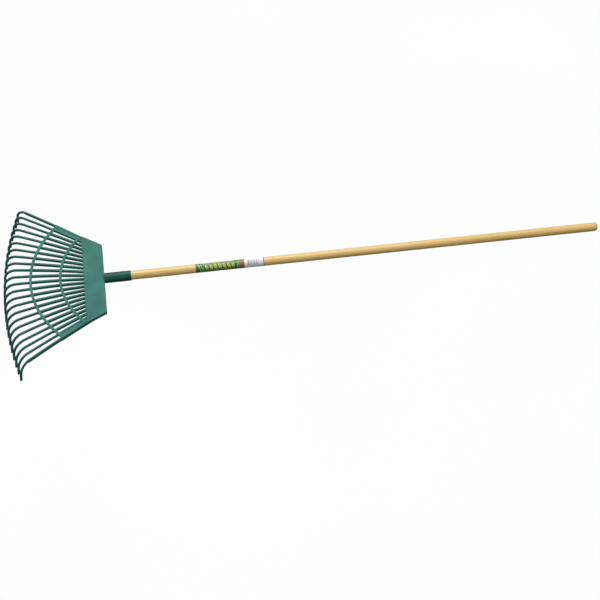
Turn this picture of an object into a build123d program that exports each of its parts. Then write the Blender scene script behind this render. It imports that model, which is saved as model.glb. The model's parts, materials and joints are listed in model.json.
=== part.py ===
from build123d import *
import os
from math import atan2, copysign, cos, degrees, radians, sin, sqrt

os.makedirs("parts", exist_ok=True)

# A leaf rake: a moulded head of spring tines on a straight wooden handle. All sizes are in mm.
#
# Every piece is drawn with the tool level. X runs along the handle towards the grip, the head lies on
# the -X side, +Z is up, and the origin is on the handle's axis at the panel's back edge. Distances
# called forward are measured from that edge the other way, so X = -forward. The last section lays
# the finished tool down so that it rests on its tine tips and grip end.

# Handle, socket and screw
HANDLE_R = 12.0
HANDLE_END = 1370.0
GRIP_DOME_R = 8.0
TENON_R = 10.95
TENON_CHAMFER = 1.5
SOCKET_R = 14.0
SOCKET_MOUTH = 72.0
SOCKET_MOUTH_R = 0.8
BORE_R = 11.0
BORE_END = 9.0
SHOULDER_GAP = 0.3
SCREW_X = 40.0
SCREW_R = 2.0
SCREW_HOLE_R = 2.2
SCREW_HEAD_R = 4.0
SCREW_HEAD_H = 2.2
SCREW_LENGTH = 18.0
SCREW_POINT = 3.0
COUNTERBORE_R = 4.6
COUNTERBORE_FLOOR = 12.4
RECESS_LENGTH = 4.4
RECESS_WIDTH = 1.1
RECESS_DEPTH = 1.2

# Printed label and stock sticker, wrapped round the handle
WRAP_THICKNESS = 0.12
LABEL_FROM = 247.5
LABEL_TO = 380.5
STICKER_FROM = 381.5
STICKER_TO = 437.0
STICKER_WRAP = 320.0

# Crown: the top line of the head in side view, rising forward from the panel and levelling out
CROWN_START = 1.8
CROWN_SLOPE = 0.124
CROWN_R = 1812.0

# Fan of tines, numbered from -OUTER at the -Y side to +OUTER, all aimed at one apex on the handle's axis
OUTER = 11
APEX_X = 151.4
FAN_STEP = 0.0696
FAN_SQUEEZE = 0.001
TINE_FROM = 5.0
TINE_WIDTH = 5.2
TINE_DEPTH = 7.4
TIP_WIDTH = 4.8
TIP_DEPTH = 6.6
TINE_ROUNDING = 1.2
TIP_ROUNDING = 1.0
EDGE_WIDTH = 5.8
EDGE_DEPTH = 10.8
LIP_WIDTH = 2.8
LIP_STEP_BACK = 1.0

# Hooks: where the bends start, and their shape
BEND_CENTRE_X = 1035.0
BEND_START_R = 1272.0
HOOK_R = 38.0
HOOK_TURN = 84.0
HOOK_STRAIGHT = 20.0

# Crossbars, each an arc about a point on the handle's axis
INNER_CENTRE_X = 145.9
INNER_R = 263.8
OUTER_CENTRE_X = 138.8
OUTER_R = 336.3
BAR_WIDTH = 7.0
BAR_PROUD = 0.6
BAR_THICKNESS = 3.4
BOSS_R = 4.6

# Flexing line, where each free tine leaves its root, and the slit that parts them
HINGE_OFFSET = 5.2
HINGE_SLIT = 0.8

# Back panel with its downturned rim, and the webs that stiffen the head's edges
PANEL_DEPTH = 55.0
PANEL_BACK_HALF = 131.5
PANEL_FRONT_HALF = 169.5
PANEL_PROUD = 1.0
PANEL_SHEET = 3.0
RIM_DEPTH = 8.5
RIM_WALL = 2.5
PANEL_CORNER_R = 4.0
PANEL_EDGE_R = 1.2
WEB_DROP = 1.4
WEB_THICKNESS = 1.6
KEEL_R = 13.0
KEEL_TAPER = 10.0
KEEL_LENGTH = 44.0

REACH = 400.0


def crown(forward):
    """Height of the head's top line, at a distance forward of the panel's back edge."""
    return CROWN_START + CROWN_SLOPE * forward - forward**2 / (2 * CROWN_R)


def fan_angle(k):
    """Angle of tine k from the handle's axis, in radians, with the spacing closing up slightly outward."""
    return FAN_STEP * k * (1 - FAN_SQUEEZE * k**2)


def reach(k, centre_x, radius):
    """Distance from the apex, along tine k, to a circle centred on the handle's axis."""
    shift = APEX_X - centre_x
    phi = fan_angle(k)
    return shift * cos(phi) + sqrt(radius**2 - (shift * sin(phi)) ** 2)


def on_tine(k, distance):
    """Plan position at a distance from the apex along tine k."""
    phi = fan_angle(k)
    return (APEX_X - distance * cos(phi), distance * sin(phi))


def tine_plane(k):
    """Upright plane that holds tine k: local x runs outward from the apex and local y is up."""
    phi = fan_angle(k)
    return Plane((APEX_X, 0, 0), x_dir=(-cos(phi), sin(phi), 0), z_dir=(sin(phi), cos(phi), 0))


def crown_point(k, distance):
    """Point of the crown in tine k's plane."""
    return (distance, crown(distance * cos(fan_angle(k)) - APEX_X))


def crown_arc(k, start, end):
    """Gentle arc along tine k's top, drawn in its own plane."""
    middle = (start + end) / 2
    return ThreePointArc(crown_point(k, start), crown_point(k, middle), crown_point(k, end))


def lip_shift(k):
    """How far the hanging lip of an outermost tine lies to its outer side."""
    return copysign((EDGE_WIDTH - LIP_WIDTH) / 2, k)


def tine_section(k, at, tangent, width, depth, shift):
    """Rounded rectangle across tine k, with its top edge on the crown."""
    phi = fan_angle(k)
    with BuildSketch(Plane(at, x_dir=(sin(phi), cos(phi), 0), z_dir=tangent)) as section:
        with Locations((shift, depth / 2)):
            RectangleRounded(width, depth, TINE_ROUNDING)
    return section.sketch


def side_band(top, thickness, start, end):
    """Side-view face that follows the crown, its top at an offset above it."""
    middle = (start + end) / 2
    upper = [(-f, crown(f) + top) for f in (start, middle, end)]
    lower = [(x, z - thickness) for x, z in upper]
    with BuildSketch(Plane.XZ) as band:
        with BuildLine():
            ThreePointArc(*upper)
            Line(upper[-1], lower[-1])
            ThreePointArc(*reversed(lower))
            Line(lower[0], upper[0])
        make_face()
    return band.sketch


def cut_by(piece, obstacles):
    """The piece with its neighbours' room taken out of it, under its own label."""
    cut = piece - obstacles
    cut.label = piece.label
    return cut


def make_bar(label, centre_x, radius):
    """Curved crossbar with a small boss where each tine between the two edge ones crosses it."""
    crossings = [on_tine(k, reach(k, centre_x, radius)) for k in range(-OUTER, OUTER + 1)]
    end_x, end_y = crossings[-1]
    half = degrees(atan2(end_y, centre_x - end_x))
    with BuildPart() as bar:
        with BuildSketch(Plane.XY):
            with BuildLine():
                front = CenterArc((centre_x, 0), radius + BAR_WIDTH / 2, 180 - half, 2 * half)
                back = CenterArc((centre_x, 0), radius - BAR_WIDTH / 2, 180 - half, 2 * half)
                Line(front @ 0, back @ 0)
                Line(front @ 1, back @ 1)
            make_face()
            with Locations(*crossings[1:-1]):
                Circle(BOSS_R)
        extrude(amount=REACH, both=True)
        extrude(side_band(BAR_PROUD, BAR_THICKNESS, 0, 250), amount=REACH, both=True, mode=Mode.INTERSECT)
    bar.part.label = label
    return bar.part


def panel_outline(inset, front):
    """Panel in plan, moved in by an inset along the back and sides."""
    slope = (PANEL_FRONT_HALF - PANEL_BACK_HALF) / PANEL_DEPTH
    side_inset = inset * sqrt(1 + slope**2)
    back_half = PANEL_BACK_HALF + slope * inset - side_inset
    front_half = PANEL_BACK_HALF + slope * front - side_inset
    with BuildSketch(Plane.XY) as outline:
        with BuildLine():
            Polyline((-inset, back_half), (-front, front_half), (-front, -front_half), (-inset, -back_half),
                     close=True)
        make_face()
        back_corners = outline.vertices().group_by(Axis.X)[-1]
        fillet(back_corners, PANEL_CORNER_R - inset)
    return outline.sketch


def make_panel():
    """Flat sheet with a rim turned down along its back and sides."""
    with BuildPart() as pocket:
        extrude(panel_outline(RIM_WALL, PANEL_DEPTH + 1), amount=REACH, both=True)
        underside = side_band(PANEL_PROUD - PANEL_SHEET, 2 * RIM_DEPTH, 0, PANEL_DEPTH + 1)
        extrude(underside, amount=REACH, both=True, mode=Mode.INTERSECT)
    with BuildPart() as panel:
        extrude(panel_outline(0, PANEL_DEPTH), amount=REACH, both=True)
        depth_band = side_band(PANEL_PROUD, RIM_DEPTH, -1, PANEL_DEPTH + 1)
        extrude(depth_band, amount=REACH, both=True, mode=Mode.INTERSECT)
        fillet(panel.faces().sort_by(SortBy.AREA)[-2:].sort_by(Axis.Z)[-1].edges(), PANEL_EDGE_R)
        add(pocket.part, mode=Mode.SUBTRACT)
    panel.part.label = "back_panel"
    return panel.part


def tine_sweep(k, start, end, with_hook, width, depth, shift):
    """Bar along tine k's top line. A hooked one tapers from its own section to the tip's."""
    with BuildPart() as bar:
        with BuildLine(tine_plane(k)) as top:
            along = crown_arc(k, start, end)
            if with_hook:
                bend = JernArc(along @ 1, along % 1, HOOK_R, -HOOK_TURN)
                Line(bend @ 1, bend @ 1 + HOOK_STRAIGHT * (bend % 1))
        path = top.wires()[0]
        root = tine_section(k, path @ 0, path % 0, width, depth, shift)
        if with_hook:
            tip = tine_section(k, path @ 1, path % 1, TIP_WIDTH, TIP_DEPTH, shift)
            sweep([root, tip], path=path, multisection=True)
            fillet(bar.faces().sort_by(Axis.Z)[0].edges(), TIP_ROUNDING)
        else:
            sweep(root, path=path)
    return bar.part


def hinge_distance(k):
    """Distance from the apex to the line where tine k's free part starts to flex."""
    return reach(k, OUTER_CENTRE_X, OUTER_R) + HINGE_OFFSET


def make_tine(k, number):
    """Free stretch of tine k with its hook. The outermost tines carry a hanging lip as far as the bend."""
    start = hinge_distance(k) + HINGE_SLIT / 2
    bend = reach(k, BEND_CENTRE_X, BEND_START_R)
    tine = tine_sweep(k, start, bend, True, TINE_WIDTH, TINE_DEPTH, 0)
    if abs(k) == OUTER:
        lip = tine_sweep(k, start, bend - LIP_STEP_BACK, False, LIP_WIDTH, EDGE_DEPTH, lip_shift(k))
        tine = tine + lip
    tine.label = f"tine_{number:02d}"
    return tine


def make_strip(k, width, depth, shift):
    """Straight strip of tine k in plan, from under the panel to just past the outer crossbar."""
    phi = fan_angle(k)
    start = (APEX_X + TINE_FROM) / cos(phi)
    end = hinge_distance(k) - HINGE_SLIT / 2
    with BuildPart() as strip:
        with BuildSketch(Plane((APEX_X, 0, 0), x_dir=(-cos(phi), sin(phi), 0))):
            with Locations(((start + end) / 2, -shift)):
                Rectangle(end - start, width)
        extrude(amount=REACH, both=True)
        extrude(side_band(0, depth, 0, 250), amount=REACH, both=True, mode=Mode.INTERSECT)
    return strip.part


def make_root(k, obstacles):
    """Fixed stretch of tine k. The lip of an outermost tine runs along it too."""
    root = make_strip(k, TINE_WIDTH, TINE_DEPTH, 0)
    if abs(k) == OUTER:
        root = root + make_strip(k, LIP_WIDTH, EDGE_DEPTH, lip_shift(k))
    return cut_by(root, obstacles).solids().sort_by(SortBy.VOLUME)[-1]


def make_roots(obstacles):
    """All the fixed stretches, one solid each, notched round the parts that they pass under."""
    roots = Compound([make_root(k, obstacles) for k in range(-OUTER, OUTER + 1)])
    roots.label = "tine_roots"
    return roots


def make_web(side, obstacles):
    """Thin web that fills the gap between an outermost tine and its neighbour, up to the outer crossbar."""
    corners = [on_tine(k, distance) for k, distance in (
        (side * OUTER, (APEX_X + PANEL_DEPTH) / cos(fan_angle(OUTER))),
        (side * OUTER, reach(OUTER, OUTER_CENTRE_X, OUTER_R)),
        (side * (OUTER - 1), reach(OUTER - 1, OUTER_CENTRE_X, OUTER_R)),
        (side * (OUTER - 1), (APEX_X + PANEL_DEPTH) / cos(fan_angle(OUTER - 1))),
    )]
    with BuildPart() as web:
        with BuildSketch(Plane.XY):
            with BuildLine():
                Polyline(*corners, close=True)
            make_face()
        extrude(amount=REACH, both=True)
        extrude(side_band(-WEB_DROP, WEB_THICKNESS, 0, 250), amount=REACH, both=True, mode=Mode.INTERSECT)
    web.part.label = "edge_web_left" if side > 0 else "edge_web_right"
    return cut_by(web.part, obstacles)


def make_socket():
    """Round sleeve behind the panel, with a closed end and a counterbored screw hole underneath."""
    with BuildPart() as socket:
        with BuildSketch(Plane.YZ):
            Circle(SOCKET_R)
        extrude(amount=SOCKET_MOUTH)
        mouth = socket.faces().sort_by(Axis.X)[-1]
        fillet(mouth.edges(), SOCKET_MOUTH_R)
        with BuildSketch(Plane.YZ.offset(BORE_END)):
            Circle(BORE_R)
        extrude(amount=SOCKET_MOUTH - BORE_END, mode=Mode.SUBTRACT)
        with BuildSketch(Plane((SCREW_X, 0, 0), z_dir=(0, 0, -1))):
            Circle(SCREW_HOLE_R)
        extrude(amount=SOCKET_R, mode=Mode.SUBTRACT)
        with BuildSketch(Plane((SCREW_X, 0, -COUNTERBORE_FLOOR), z_dir=(0, 0, -1))):
            Circle(COUNTERBORE_R)
        extrude(amount=SOCKET_R, mode=Mode.SUBTRACT)
    socket.part.label = "socket"
    return socket.part


def make_keel(panel):
    """Tapered rib that carries the socket's load forward, against the undersides of the tine roots."""
    with BuildPart() as keel:
        with BuildSketch(Plane((-RIM_WALL, 0, 0), z_dir=(-1, 0, 0))):
            Circle(KEEL_R)
        extrude(amount=KEEL_LENGTH - RIM_WALL, taper=KEEL_TAPER)
        above = side_band(REACH, REACH + TINE_DEPTH, -1, KEEL_LENGTH + 1)
        extrude(above, amount=2 * KEEL_R, both=True, mode=Mode.SUBTRACT)
    keel.part.label = "socket_keel"
    return cut_by(keel.part, [panel])


def make_handle():
    """Round pole with a turned-down tenon at the head and a domed grip end."""
    with BuildPart() as handle:
        with BuildSketch(Plane.YZ.offset(BORE_END + SHOULDER_GAP)):
            Circle(TENON_R)
        extrude(amount=SOCKET_MOUTH - BORE_END)
        chamfer(handle.faces().sort_by(Axis.X)[0].edges(), TENON_CHAMFER)
        with BuildSketch(Plane.YZ.offset(SOCKET_MOUTH + SHOULDER_GAP)):
            Circle(HANDLE_R)
        extrude(amount=HANDLE_END - SOCKET_MOUTH - SHOULDER_GAP)
        fillet(handle.faces().sort_by(Axis.X)[-1].edges(), GRIP_DOME_R)
        with BuildSketch(Plane((SCREW_X, 0, -COUNTERBORE_FLOOR), z_dir=(0, 0, 1))):
            Circle(SCREW_R)
        extrude(amount=SCREW_LENGTH, mode=Mode.SUBTRACT)
    handle.part.label = "handle"
    return handle.part


def make_screw():
    """Pan-head screw driven up through the socket's underside into the tenon."""
    with BuildPart() as screw:
        with BuildSketch(Plane((SCREW_X, 0, -COUNTERBORE_FLOOR), z_dir=(0, 0, 1))):
            Circle(SCREW_R)
        extrude(amount=SCREW_LENGTH)
        chamfer(screw.faces().sort_by(Axis.Z)[-1].edges(), SCREW_POINT, SCREW_R * 0.9)
        with BuildSketch(Plane((SCREW_X, 0, -COUNTERBORE_FLOOR), z_dir=(0, 0, -1))):
            Circle(SCREW_HEAD_R)
        extrude(amount=SCREW_HEAD_H)
        under = screw.faces().sort_by(Axis.Z)[0]
        fillet(under.edges(), SCREW_HEAD_H * 0.6)
        with BuildSketch(Plane((SCREW_X, 0, -COUNTERBORE_FLOOR - SCREW_HEAD_H))):
            Rectangle(RECESS_LENGTH, RECESS_WIDTH)
            Rectangle(RECESS_WIDTH, RECESS_LENGTH)
        extrude(amount=RECESS_DEPTH, mode=Mode.SUBTRACT)
    screw.part.label = "socket_screw"
    return screw.part


def make_wrap(label, start, end, wrap):
    """Thin printed wrap round the handle. Less than a full turn leaves its seam open underneath."""
    with BuildPart() as sleeve:
        with BuildSketch(Plane.YZ.offset(start)):
            Circle(HANDLE_R + WRAP_THICKNESS)
            Circle(HANDLE_R, mode=Mode.SUBTRACT)
            if wrap < 360:
                half = radians((360 - wrap) / 2)
                seam = (2 * HANDLE_R * sin(half), -2 * HANDLE_R * cos(half))
                with BuildLine():
                    Polyline((0, 0), seam, (-seam[0], seam[1]), close=True)
                make_face(mode=Mode.SUBTRACT)
        extrude(amount=end - start)
    sleeve.part.label = label
    return sleeve.part


def make_head():
    """The moulded head's fixed members."""
    panel = make_panel()
    keel = make_keel(panel)
    inner = cut_by(make_bar("inner_crossbar", INNER_CENTRE_X, INNER_R), [panel])
    outer = make_bar("outer_crossbar", OUTER_CENTRE_X, OUTER_R)
    roots = make_roots([panel, inner, outer])
    webs = [make_web(side, [panel, inner, outer, roots]) for side in (-1, 1)]
    return [panel, keel, inner, outer, roots, *webs, make_socket()]


def make_tool():
    """Every piece, drawn with the tool level."""
    tines = [make_tine(k, k + OUTER + 1) for k in range(-OUTER, OUTER + 1)]
    wraps = [make_wrap("label_sleeve", LABEL_FROM, LABEL_TO, 360),
             make_wrap("stock_sticker", STICKER_FROM, STICKER_TO, STICKER_WRAP)]
    return [*make_head(), make_handle(), make_screw(), *wraps, *tines]


def resting_place(pieces):
    """Where the level tool goes so that its tine tips and grip end touch Z = 0, centred over the origin."""
    box = Compound(pieces).bounding_box()
    grip_x = HANDLE_END - GRIP_DOME_R
    tilt = Rot(0, degrees(atan2(-HANDLE_R - box.min.Z, grip_x - box.min.X)), 0)
    box = Compound([piece.moved(tilt) for piece in pieces]).bounding_box()
    return Pos(-box.center().X, -box.center().Y, -box.min.Z) * tilt


TOOL = make_tool()
PLACE = resting_place(TOOL)
for piece in TOOL:
    laid = piece.moved(PLACE)
    laid.label = piece.label
    export_step(laid, f"parts/{piece.label}.step")
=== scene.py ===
import json
import math

import bpy
import bmesh
from mathutils import Matrix, Vector


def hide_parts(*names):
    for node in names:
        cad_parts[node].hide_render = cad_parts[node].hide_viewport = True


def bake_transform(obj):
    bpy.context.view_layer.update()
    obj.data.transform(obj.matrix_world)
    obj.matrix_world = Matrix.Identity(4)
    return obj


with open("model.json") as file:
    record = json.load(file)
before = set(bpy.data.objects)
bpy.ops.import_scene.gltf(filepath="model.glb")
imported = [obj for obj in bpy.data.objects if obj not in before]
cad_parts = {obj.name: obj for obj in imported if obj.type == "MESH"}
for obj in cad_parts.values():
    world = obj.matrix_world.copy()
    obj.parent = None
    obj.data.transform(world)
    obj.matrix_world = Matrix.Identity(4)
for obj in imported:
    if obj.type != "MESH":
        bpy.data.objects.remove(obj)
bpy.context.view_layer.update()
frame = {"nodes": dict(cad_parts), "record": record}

# ---- The level tool -------------------------------------------------------------------------------
# Pieces are drawn with the tool level, in metres: X along the handle towards the grip, Z up, origin on the
# handle's axis at the panel's back edge. LEVEL carries that drawing to the place where the rake rests.

# Handle, with the stretches under the label and the sticker, and how far their print is turned to the front
SHOULDER_X = 0.0723
LABEL_FROM, LABEL_TO = 0.2475, 0.3805
STICKER_FROM, STICKER_TO = 0.3815, 0.437
FACING = 0.75

# Fan of tines, numbered from -OUTER to OUTER and aimed at one apex, under a crown that levels out forward
OUTER = 11
APEX_X = 0.1514
FAN_STEP, FAN_SQUEEZE = 0.0696, 0.001
CROWN_START, CROWN_SLOPE, CROWN_R = 0.0018, 0.124, 1.812
OUTER_BAR_X, OUTER_BAR_R = 0.1388, 0.3363
BEND_X, BEND_R = 1.035, 1.272
HOOK_R, HOOK_TURN, HOOK_STRAIGHT = 0.038, math.radians(84), 0.020

# Tine section, a rounded square that tapers to the tip. The lip under an outermost tine fades out past
# the bend
TINE_WIDTH, TINE_DEPTH = 0.0052, 0.0074
TIP_WIDTH, TIP_DEPTH = 0.0048, 0.0066
EDGE_DEPTH = 0.0108
LIP_FADE = 0.016
SECTION_POINTS = 20
SECTION_SQUARENESS = 0.5
SECTION_MIDDLE = 0.0001

# Rings along a tine: evenly spaced to the bend and round it, then at shares of the straight. The last ones,
# with the share of the full section that each keeps, round off the tip
STRAIGHT_STEPS = 18
HOOK_STEPS = 24
STRAIGHT_RINGS = (0.15, 0.3, 0.45, 0.6, 0.75, 0.9)
TIP_RINGS = {0.97: 1.0, 0.982: 0.95, 0.992: 0.82, 1.0: 0.55}
SLOPE_STEP = 0.001

# Hinge: a free tine starts a little past the outer crossbar and laps into its root
HINGE_OFFSET = 0.0052
HINGE_LAP = 0.001

# Edges that turn by more than this stay sharp, on the CAD pieces and on the tines
CAD_SHARP = math.radians(28)
TINE_SHARP = math.radians(50)

GRIP = frame["record"]["mounts"][0]
GRIP_AXIS = Vector(GRIP["axis"]).normalized()
GRIP_MIDDLE = SHOULDER_X + GRIP["dims"]["length_mm"] / 2000
TILT = math.atan2(-GRIP_AXIS.z, GRIP_AXIS.x)
LEVEL = Matrix.Translation(Vector(GRIP["pos_m"]) - GRIP_AXIS * GRIP_MIDDLE) @ Matrix.Rotation(TILT, 4, "Y")


# ---- Node helpers ---------------------------------------------------------------------------------
class Graph:
    """Short names for the nodes of one material or world."""

    def __init__(self, tree):
        self.nodes = tree.nodes
        self.links = tree.links

    def node(self, kind, **settings):
        """A new shader node with its settings."""
        made = self.nodes.new("ShaderNode" + kind)
        for setting, value in settings.items():
            setattr(made, setting, value)
        return made

    def feed(self, socket, value):
        """Gives a socket another node's output, a colour or a number."""
        if isinstance(value, bpy.types.NodeSocket):
            self.links.new(value, socket)
        elif isinstance(value, tuple):
            socket.default_value = (*value, 1)
        else:
            socket.default_value = value

    def maths(self, operation, *values):
        node = self.node("Math", operation=operation)
        for socket, value in zip(node.inputs, values):
            self.feed(socket, value)
        return node.outputs[0]

    def mix(self, factor, first, second):
        """The first colour, with the second over it by a factor."""
        node = self.node("Mix", data_type="RGBA")
        for socket, value in ((node.inputs[0], factor), (node.inputs[6], first), (node.inputs[7], second)):
            self.feed(socket, value)
        return node.outputs[2]

    def ramp(self, value, stops):
        node = self.node("ValToRGB")
        line = node.color_ramp
        while len(line.elements) < len(stops):
            line.elements.new(0.5)
        for element, (position, colour) in zip(line.elements, stops):
            element.position = position
            element.color = (*colour, 1)
        self.links.new(value, node.inputs["Fac"])
        return node.outputs["Color"]

    def grey_ramp(self, value, low, high, dark, light):
        return self.ramp(value, [(low, (dark,) * 3), (high, (light,) * 3)])

    def inside(self, value, low, high):
        """One where the value lies between two numbers, and nought elsewhere."""
        above = self.maths("GREATER_THAN", value, low)
        return self.maths("MULTIPLY", above, self.maths("LESS_THAN", value, high))

    def stretched(self, vector, scale):
        """The texture space scaled along each axis."""
        node = self.node("VectorMath", operation="MULTIPLY")
        node.inputs[1].default_value = scale
        self.links.new(vector, node.inputs[0])
        return node.outputs["Vector"]

    def noise(self, vector, scale, detail=3.0, roughness=0.55):
        node = self.node("TexNoise")
        node.inputs["Scale"].default_value = scale
        node.inputs["Detail"].default_value = detail
        node.inputs["Roughness"].default_value = roughness
        self.links.new(vector, node.inputs["Vector"])
        return node.outputs["Fac"]

    def bump(self, height, strength, distance):
        node = self.node("Bump")
        node.inputs["Strength"].default_value = strength
        node.inputs["Distance"].default_value = distance
        self.links.new(height, node.inputs["Height"])
        return node

    def round_handle(self, space):
        """Position along the handle in metres, and the angle round it from the top in radians."""
        split = self.node("SeparateXYZ")
        self.links.new(space, split.inputs["Vector"])
        return split.outputs["X"], self.maths("ARCTAN2", split.outputs["Y"], split.outputs["Z"])


def new_material(name):
    """A material, its graph and shader, and one texture space fixed to the level tool."""
    material = bpy.data.materials.new(name)
    material.use_nodes = True
    graph = Graph(material.node_tree)
    turned = graph.node("Mapping", vector_type="TEXTURE")
    turned.inputs["Location"].default_value = LEVEL.to_translation()
    turned.inputs["Rotation"].default_value = (0, TILT, 0)
    graph.links.new(graph.node("TexCoord").outputs["Object"], turned.inputs["Vector"])
    return material, graph, graph.nodes["Principled BSDF"], turned.outputs["Vector"]


# ---- Materials ------------------------------------------------------------------------------------
def plastic(name, colour, worn, roughness, edge_radius, grain):
    """Moulded polypropylene: slight colour drift, chalky scuffs, fine mould grain and rounded edges."""
    material, graph, shader, space = new_material(name)
    drift = graph.noise(space, 14, 4)
    scuffs = graph.noise(graph.stretched(space, (90, 420, 200)), 1.0, 5, 0.7)
    dark = tuple(channel * 0.78 for channel in colour)
    light = tuple(channel * 1.18 for channel in colour)
    base = graph.ramp(drift, [(0.32, dark), (0.5, colour), (0.7, light)])
    scuffed = graph.grey_ramp(scuffs, 0.56, 0.78, 0.0, 0.45)
    graph.feed(shader.inputs["Base Color"], graph.mix(scuffed, base, worn))
    graph.feed(shader.inputs["Roughness"], graph.maths("MULTIPLY_ADD", scuffs, 0.22, roughness - 0.11))
    shader.inputs["Specular IOR Level"].default_value = 0.25
    edges = graph.node("Bevel", samples=4)
    edges.inputs["Radius"].default_value = edge_radius
    surface = graph.bump(graph.noise(space, grain, 2), 0.35, 0.00012)
    graph.links.new(edges.outputs["Normal"], surface.inputs["Normal"])
    graph.links.new(surface.outputs["Normal"], shader.inputs["Normal"])
    return material


def growth_lines(graph, space):
    """Saw-shaped bands along the wood that wander slightly from side to side."""
    wander = graph.noise(graph.stretched(space, (3.0, 60, 60)), 1.0, 3, 0.5)
    offset = graph.node("CombineXYZ")
    graph.feed(offset.inputs["Y"], graph.maths("MULTIPLY", wander, 2.6))
    wandering = graph.node("VectorMath", operation="ADD")
    graph.links.new(graph.stretched(space, (1.1, 210, 90)), wandering.inputs[0])
    graph.links.new(offset.outputs["Vector"], wandering.inputs[1])
    lines = graph.node("TexWave", bands_direction="Y", wave_profile="SAW")
    lines.inputs["Scale"].default_value = 0.30
    lines.inputs["Distortion"].default_value = 2.2
    lines.inputs["Detail"].default_value = 2.5
    lines.inputs["Detail Scale"].default_value = 0.8
    graph.links.new(wandering.outputs["Vector"], lines.inputs["Vector"])
    return lines.outputs["Fac"]


def handle_wood():
    """Pale straight-grained ash, sanded and thinly varnished, with darker growth lines and open pores."""
    material, graph, shader, space = new_material("handle_wood")
    base = graph.ramp(growth_lines(graph, space), [
        (0.0, (0.82, 0.57, 0.19)), (0.55, (0.78, 0.52, 0.155)),
        (0.86, (0.68, 0.41, 0.10)), (1.0, (0.57, 0.32, 0.07))])
    fibres = graph.noise(graph.stretched(space, (9, 900, 900)), 1.0, 4, 0.65)
    fibred = graph.mix(0.45, base, graph.ramp(fibres, [
        (0.30, (0.62, 0.38, 0.10)), (0.55, (0.82, 0.57, 0.19)), (0.75, (0.90, 0.67, 0.27))]))
    pores = graph.noise(graph.stretched(space, (60, 2400, 2400)), 1.0, 2, 0.5)
    pore_mask = graph.grey_ramp(pores, 0.62, 0.70, 0.0, 0.55)
    pored = graph.mix(pore_mask, fibred, (0.40, 0.22, 0.06))
    tone = graph.noise(graph.stretched(space, (2.2, 25, 25)), 1.0, 3)
    toned = graph.mix(graph.grey_ramp(tone, 0.40, 0.66, 0.0, 0.35), pored, (0.86, 0.64, 0.26))
    graph.feed(shader.inputs["Base Color"], toned)
    graph.feed(shader.inputs["Roughness"], graph.maths("MULTIPLY_ADD", fibres, 0.25, 0.30))
    shader.inputs["Coat Weight"].default_value = 0.45
    shader.inputs["Coat Roughness"].default_value = 0.28
    height = graph.maths("SUBTRACT", fibres, graph.maths("MULTIPLY", pore_mask, 0.8))
    graph.feed(shader.inputs["Normal"], graph.bump(height, 0.35, 0.0002).outputs["Normal"])
    return material


def leaf_row(graph, share, turned):
    """Mask of a row of slanted leaf shapes along the middle of the label, each with a plain vein."""
    leaves, slope, length, height = 11.0, 0.28, 2.1, 1.15
    cell = graph.maths("SUBTRACT", graph.maths("FRACT", graph.maths("MULTIPLY", share, leaves)), 0.5)
    sideways = graph.maths("ABSOLUTE", graph.maths("MULTIPLY_ADD", turned, slope, cell))
    across = graph.maths("MULTIPLY", graph.maths("ABSOLUTE", turned), height)
    rise = graph.maths("MULTIPLY", across, across)
    leaf = graph.maths("ADD", graph.maths("MULTIPLY", sideways, length), rise)
    leaf_mask = graph.maths("LESS_THAN", leaf, 0.72)
    vein = graph.maths("LESS_THAN", sideways, 0.045)
    in_row = graph.maths("MULTIPLY", leaf_mask, graph.inside(share, 0.16, 0.80))
    return graph.maths("MULTIPLY", in_row, graph.maths("SUBTRACT", 1.0, vein))


def end_rules(graph, share, turned):
    """Mask of two slanted rules near the label's head end and two straight ones near its grip end."""
    slanted = graph.maths("MULTIPLY_ADD", turned, 0.025, share)
    broad_slant = graph.inside(slanted, 0.070, 0.092)
    thin_slant = graph.inside(slanted, 0.120, 0.134)
    broad_rule = graph.inside(share, 0.848, 0.862)
    thin_rule = graph.inside(share, 0.884, 0.894)
    head_end = graph.maths("MAXIMUM", broad_slant, thin_slant)
    return graph.maths("MAXIMUM", head_end, graph.maths("MAXIMUM", broad_rule, thin_rule))


def long_bands(graph, share, turned):
    """Mask of a thin rule below the leaves and a broader band above them."""
    bands = graph.maths("MAXIMUM", graph.inside(turned, -0.94, -0.84), graph.inside(turned, 0.92, 1.30))
    return graph.maths("MULTIPLY", bands, graph.inside(share, 0.12, 0.80))


def label_print():
    """Glossy printed film: a dark green band with a row of plain yellow-green leaf shapes and rules, and
    painted shade darkening its lower front side.
    """
    material, graph, shader, space = new_material("label_print")
    along, angle = graph.round_handle(space)
    share = graph.maths("DIVIDE", graph.maths("SUBTRACT", along, LABEL_FROM), LABEL_TO - LABEL_FROM)
    turned = graph.maths("ADD", angle, FACING)
    field = graph.ramp(share, [
        (0.0, (0.20, 0.17, 0.10)), (0.035, (0.015, 0.10, 0.035)), (0.12, (0.02, 0.13, 0.04)),
        (0.45, (0.10, 0.13, 0.01)), (0.72, (0.05, 0.12, 0.015)), (0.84, (0.03, 0.10, 0.04)),
        (0.92, (0.16, 0.15, 0.04)), (1.0, (0.19, 0.13, 0.06))])
    field.node.color_ramp.interpolation = "EASE"
    leafy = graph.mix(leaf_row(graph, share, turned), field, (0.52, 0.64, 0.10))
    ruled = graph.mix(end_rules(graph, share, turned), leafy, (0.30, 0.52, 0.20))
    banded = graph.mix(long_bands(graph, share, turned), ruled, (0.52, 0.64, 0.12))
    # Painted shade: a near-black strip over the label's lower front side, where the handle turns away from
    # the lamps.
    lower_painted_shade = graph.maths("MULTIPLY", graph.inside(turned, -2.0, -1.02), 0.8)
    graph.feed(shader.inputs["Base Color"], graph.mix(lower_painted_shade, banded, (0.01, 0.03, 0.012)))
    shader.inputs["Roughness"].default_value = 0.30
    shader.inputs["Coat Weight"].default_value = 0.4
    shader.inputs["Coat Roughness"].default_value = 0.12
    wrinkles = graph.noise(graph.stretched(space, (60, 160, 160)), 1.0, 2)
    graph.feed(shader.inputs["Normal"], graph.bump(wrinkles, 0.25, 0.0003).outputs["Normal"])
    return material


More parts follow.
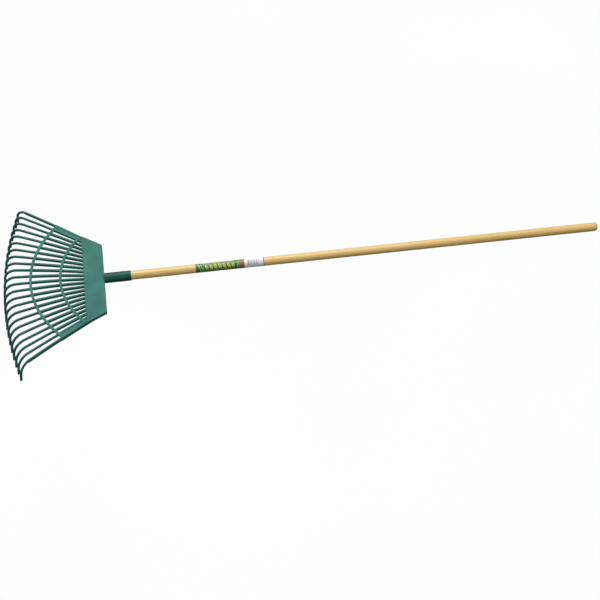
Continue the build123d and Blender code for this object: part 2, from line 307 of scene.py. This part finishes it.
def sticker_paper():
    """White paper with a strip of plain grey bars and a dark line at its far end."""
    material, graph, shader, space = new_material("sticker_paper")
    along, angle = graph.round_handle(space)
    share = graph.maths("DIVIDE", graph.maths("SUBTRACT", along, STICKER_FROM), STICKER_TO - STICKER_FROM)
    turned = graph.maths("ADD", angle, FACING)
    bars = graph.noise(graph.stretched(space, (620, 0.01, 0.01)), 1.0, 1, 0.9)
    strip = graph.maths("MULTIPLY", graph.inside(share, 0.10, 0.70), graph.inside(turned, -0.55, 0.75))
    bar_mask = graph.maths("MULTIPLY", graph.maths("GREATER_THAN", bars, 0.52), strip)
    barred = graph.mix(bar_mask, (0.84, 0.83, 0.84), (0.20, 0.17, 0.20))
    end_rule = graph.inside(share, 0.93, 0.975)
    graph.feed(shader.inputs["Base Color"], graph.mix(end_rule, barred, (0.12, 0.10, 0.10)))
    fibre = graph.noise(space, 900, 3)
    graph.feed(shader.inputs["Roughness"], graph.maths("MULTIPLY_ADD", fibre, 0.15, 0.48))
    graph.feed(shader.inputs["Normal"], graph.bump(fibre, 0.15, 0.0001).outputs["Normal"])
    return material


def screw_steel():
    """Zinc-plated steel with a faint brushed grain."""
    material, graph, shader, space = new_material("screw_steel")
    grain = graph.noise(graph.stretched(space, (300, 4000, 300)), 1.0, 3)
    base = graph.ramp(grain, [(0.3, (0.42, 0.42, 0.40)), (0.7, (0.66, 0.66, 0.63))])
    graph.feed(shader.inputs["Base Color"], base)
    graph.feed(shader.inputs["Roughness"], graph.maths("MULTIPLY_ADD", grain, 0.2, 0.25))
    shader.inputs["Metallic"].default_value = 1.0
    graph.feed(shader.inputs["Normal"], graph.bump(grain, 0.2, 0.0001).outputs["Normal"])
    return material


# ---- Geometry of a tine ---------------------------------------------------------------------------
def crown(forward):
    """Height of the head's top line, at a distance forward of the panel's back edge."""
    return CROWN_START + CROWN_SLOPE * forward - forward**2 / (2 * CROWN_R)


def fan_angle(k):
    return FAN_STEP * k * (1 - FAN_SQUEEZE * k**2)


def fan_direction(k):
    """The level direction in which tine k runs outward from the apex."""
    phi = fan_angle(k)
    return Vector((-math.cos(phi), math.sin(phi), 0))


def reach(k, centre_x, radius):
    """Distance from the apex, along tine k, to a circle centred on the handle's axis."""
    shift = APEX_X - centre_x
    phi = fan_angle(k)
    return shift * math.cos(phi) + math.sqrt(radius**2 - (shift * math.sin(phi)) ** 2)


def tine_line(k, start, bend):
    """Top line of tine k in its own upright plane: distances, heights and slope angles, root to tip."""
    phi = fan_angle(k)

    def height(distance):
        return crown(distance * math.cos(phi) - APEX_X)

    line = []
    for i in range(STRAIGHT_STEPS + 1):
        at = start + (bend - start) * i / STRAIGHT_STEPS
        rise = height(at + SLOPE_STEP / 2) - height(at - SLOPE_STEP / 2)
        line.append((at, height(at), math.atan2(rise, SLOPE_STEP)))
    at, up, slope = line[-1]
    for i in range(1, HOOK_STEPS + 1):
        turn = HOOK_TURN * i / HOOK_STEPS
        line.append((at + HOOK_R * (math.sin(slope) - math.sin(slope - turn)),
                     up + HOOK_R * (math.cos(slope - turn) - math.cos(slope)), slope - turn))
    at, up, slope = line[-1]
    for share in (*STRAIGHT_RINGS, *TIP_RINGS):
        run = HOOK_STRAIGHT * share
        line.append((at + run * math.cos(slope), up + run * math.sin(slope), slope))
    return line


def signed_power(value, power):
    return math.copysign(abs(value) ** power, value)


def section_size(k, share, past_bend):
    """Width and depth of tine k, tapering to the tip, and how far an outermost tine's lip hangs below it."""
    width = TINE_WIDTH + (TIP_WIDTH - TINE_WIDTH) * share
    depth = TINE_DEPTH + (TIP_DEPTH - TINE_DEPTH) * share
    left = min(1.0, max(0.0, 1 - past_bend / LIP_FADE)) if abs(k) == OUTER else 0.0
    return width, depth, (EDGE_DEPTH - depth) * left * left * (3 - 2 * left)


def section_points(k, width, depth, lip):
    """Rounded square about its middle, as distances across and up. A lip hangs from its outer half."""
    points = []
    for j in range(SECTION_POINTS):
        a = 2 * math.pi * j / SECTION_POINTS
        across = signed_power(math.cos(a), SECTION_SQUARENESS) * width / 2
        upward = signed_power(math.sin(a), SECTION_SQUARENESS) * depth / 2
        if lip and upward < -SECTION_MIDDLE and across * k > -SECTION_MIDDLE:
            upward -= lip
        points.append((across, upward))
    return points


def skin(rings, name):
    """A closed mesh over rings of points, as an object in the place where the rake rests."""
    mesh = bmesh.new()
    loops = [[mesh.verts.new(point) for point in ring] for ring in rings]
    for one, two in zip(loops, loops[1:]):
        for j in range(len(one)):
            n = (j + 1) % len(one)
            mesh.faces.new((one[j], one[n], two[n], two[j]))
    mesh.faces.new(loops[0][::-1])
    mesh.faces.new(loops[-1])
    bmesh.ops.recalc_face_normals(mesh, faces=mesh.faces)
    data = bpy.data.meshes.new(name)
    mesh.to_mesh(data)
    mesh.free()
    data.transform(LEVEL)
    data.shade_smooth()
    data.set_sharp_from_angle(angle=TINE_SHARP)
    piece = bpy.data.objects.new(name, data)
    bpy.context.scene.collection.objects.link(piece)
    return piece


def tine_piece(name, k, start, bend):
    """Tapered, hooked tine with rounded edges and a rounded tip."""
    phi = fan_angle(k)
    outward = fan_direction(k)
    side = Vector((math.sin(phi), math.cos(phi), 0))
    above = Vector((0, 0, 1))
    line = tine_line(k, start, bend)
    lengths = [0.0]
    for (r0, z0, _), (r1, z1, _) in zip(line, line[1:]):
        lengths.append(lengths[-1] + math.hypot(r1 - r0, z1 - z0))
    kept = [1.0] * (len(line) - len(TIP_RINGS)) + list(TIP_RINGS.values())
    rings = []
    for (distance, height, slope), length, shrink in zip(line, lengths, kept):
        width, depth, lip = section_size(k, length / lengths[-1], length - lengths[STRAIGHT_STEPS])
        normal = -math.sin(slope) * outward + math.cos(slope) * above
        middle = Vector((APEX_X, 0, 0)) + outward * distance + above * height - normal * depth / 2
        section = section_points(k, width * shrink, depth * shrink, lip)
        rings.append([middle + side * across + normal * upward for across, upward in section])
    return skin(rings, name)


# ---- Dressing the rake ----------------------------------------------------------------------------
def add_tine(k, material):
    """A free tine, starting where it leaves the outer crossbar, in place of the rigid CAD one."""
    number = f"{k + OUTER + 1:02d}"
    hinge = reach(k, OUTER_BAR_X, OUTER_BAR_R) + HINGE_OFFSET
    piece = tine_piece(f"spring_tine_{number}", k, hinge - HINGE_LAP, reach(k, BEND_X, BEND_R))
    piece.data.materials.append(material)
    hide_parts(f"tine_{number}")
    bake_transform(piece)


def dress(node, material):
    """Gives a CAD node its finish and smooth shading across its round faces."""
    piece = frame["nodes"][node]
    piece.data.materials.clear()
    piece.data.materials.append(material)
    piece.data.shade_smooth()
    piece.data.set_sharp_from_angle(angle=CAD_SHARP)


head_green = plastic("head_plastic", (0.026, 0.162, 0.130), (0.09, 0.26, 0.22), 0.52, 0.0006, 1400)
socket_green = plastic("socket_plastic", (0.003, 0.082, 0.062), (0.03, 0.15, 0.12), 0.42, 0.0008, 900)

HEAD_NODES = ("back_panel", "inner_crossbar", "outer_crossbar", "tine_roots",
              "edge_web_left", "edge_web_right")
for node in HEAD_NODES:
    dress(node, head_green)
for node in ("socket", "socket_keel"):
    dress(node, socket_green)
dress("handle", handle_wood())
dress("label_sleeve", label_print())
dress("stock_sticker", sticker_paper())
dress("socket_screw", screw_steel())

for k in range(-OUTER, OUTER + 1):
    add_tine(k, head_green)


# ---- Floor and light ------------------------------------------------------------------------------
# The floor takes no shadow, and lies low enough that the tips of tines flexed down would stay in view
FLOOR_SIZE = 24.0
FLOOR_DROP = 0.03
SKY_STRENGTH = 0.62
BACKDROP = (0.99, 0.99, 0.99)


def floor_pale():
    """Even near-white that shows only from above."""
    material, graph, shader, space = new_material("floor_pale")
    graph.nodes.remove(shader)
    white = graph.node("Emission")
    graph.feed(white.inputs["Color"], graph.grey_ramp(graph.noise(space, 0.8, 2), 0.3, 0.7, 0.985, 1.0))
    sides = graph.node("MixShader")
    graph.links.new(graph.node("NewGeometry").outputs["Backfacing"], sides.inputs["Fac"])
    graph.links.new(white.outputs["Emission"], sides.inputs[1])
    graph.links.new(graph.node("BsdfTransparent").outputs["BSDF"], sides.inputs[2])
    graph.links.new(sides.outputs["Shader"], graph.nodes["Material Output"].inputs["Surface"])
    return material


def area_light(name, place, size, watts):
    """A square lamp that points at the middle of the rake."""
    lamp = bpy.data.lights.new(name, "AREA")
    lamp.size = size
    lamp.energy = watts
    holder = bpy.data.objects.new(name, lamp)
    holder.location = place
    holder.rotation_mode = "QUATERNION"
    holder.rotation_quaternion = (-Vector(place)).to_track_quat("-Z", "Y")
    bpy.context.scene.collection.objects.link(holder)


def studio_sky():
    """Soft light from above that fades out below the horizon. The camera sees it as plain near-white."""
    world = bpy.data.worlds.new("studio")
    world.use_nodes = True
    graph = Graph(world.node_tree)
    direction = graph.node("SeparateXYZ")
    graph.links.new(graph.node("TexCoord").outputs["Generated"], direction.inputs["Vector"])
    height = graph.maths("MULTIPLY_ADD", direction.outputs["Z"], 0.5, 0.5)
    glow = graph.grey_ramp(height, 0.44, 0.62, 0.08, 1.0)
    seen = graph.node("LightPath").outputs["Is Camera Ray"]
    background = graph.nodes["Background"]
    graph.feed(background.inputs["Color"], graph.mix(seen, glow, BACKDROP))
    strength = graph.maths("MULTIPLY_ADD", seen, 1.0 - SKY_STRENGTH, SKY_STRENGTH)
    graph.feed(background.inputs["Strength"], strength)
    return world


bpy.ops.mesh.primitive_plane_add(size=FLOOR_SIZE, location=(0, 0, -FLOOR_DROP))
floor = bpy.context.object
floor.name = "floor"
floor.visible_diffuse = False
floor.visible_glossy = False
floor.data.materials.append(floor_pale())

area_light("key", (-0.6, 1.6, 3.0), 1.8, 52)
area_light("top", (0.0, 0.2, 3.6), 3.0, 30)
bpy.context.scene.world = studio_sky()
bpy.context.scene.view_settings.view_transform = "Standard"

# ---- Camera ---------------------------------------------------------------------------------------
# The view's direction and roll about the level tool, and where its middle falls from the panel's back edge
VIEW_AZIMUTH, VIEW_ELEVATION, VIEW_ROLL = math.radians(-7.21), math.radians(45.04), math.radians(-1.02)
VIEW_DISTANCE = 4.334
AIM_RIGHT, AIM_UP = 0.5296, -0.0590
LENS = 96.0
FAR_CLIP = 50


def camera_place():
    """Where the camera sits and how it is turned, worked out about the level tool."""
    back = Vector((math.sin(VIEW_AZIMUTH) * math.cos(VIEW_ELEVATION),
                   -math.cos(VIEW_AZIMUTH) * math.cos(VIEW_ELEVATION), math.sin(VIEW_ELEVATION)))
    flat_right = Vector((math.cos(VIEW_AZIMUTH), math.sin(VIEW_AZIMUTH), 0))
    flat_up = back.cross(flat_right)
    right = math.cos(VIEW_ROLL) * flat_right + math.sin(VIEW_ROLL) * flat_up
    up = math.cos(VIEW_ROLL) * flat_up - math.sin(VIEW_ROLL) * flat_right
    seat = right * AIM_RIGHT + up * AIM_UP + back * VIEW_DISTANCE
    return LEVEL @ Matrix.Translation(seat) @ Matrix((right, up, back)).transposed().to_4x4()


camera_data = bpy.data.cameras.new("camera")
camera_data.lens = LENS
camera_data.clip_end = FAR_CLIP
camera = bpy.data.objects.new("camera", camera_data)
camera.matrix_world = camera_place()
bpy.context.scene.collection.objects.link(camera)
bpy.context.scene.camera = camera
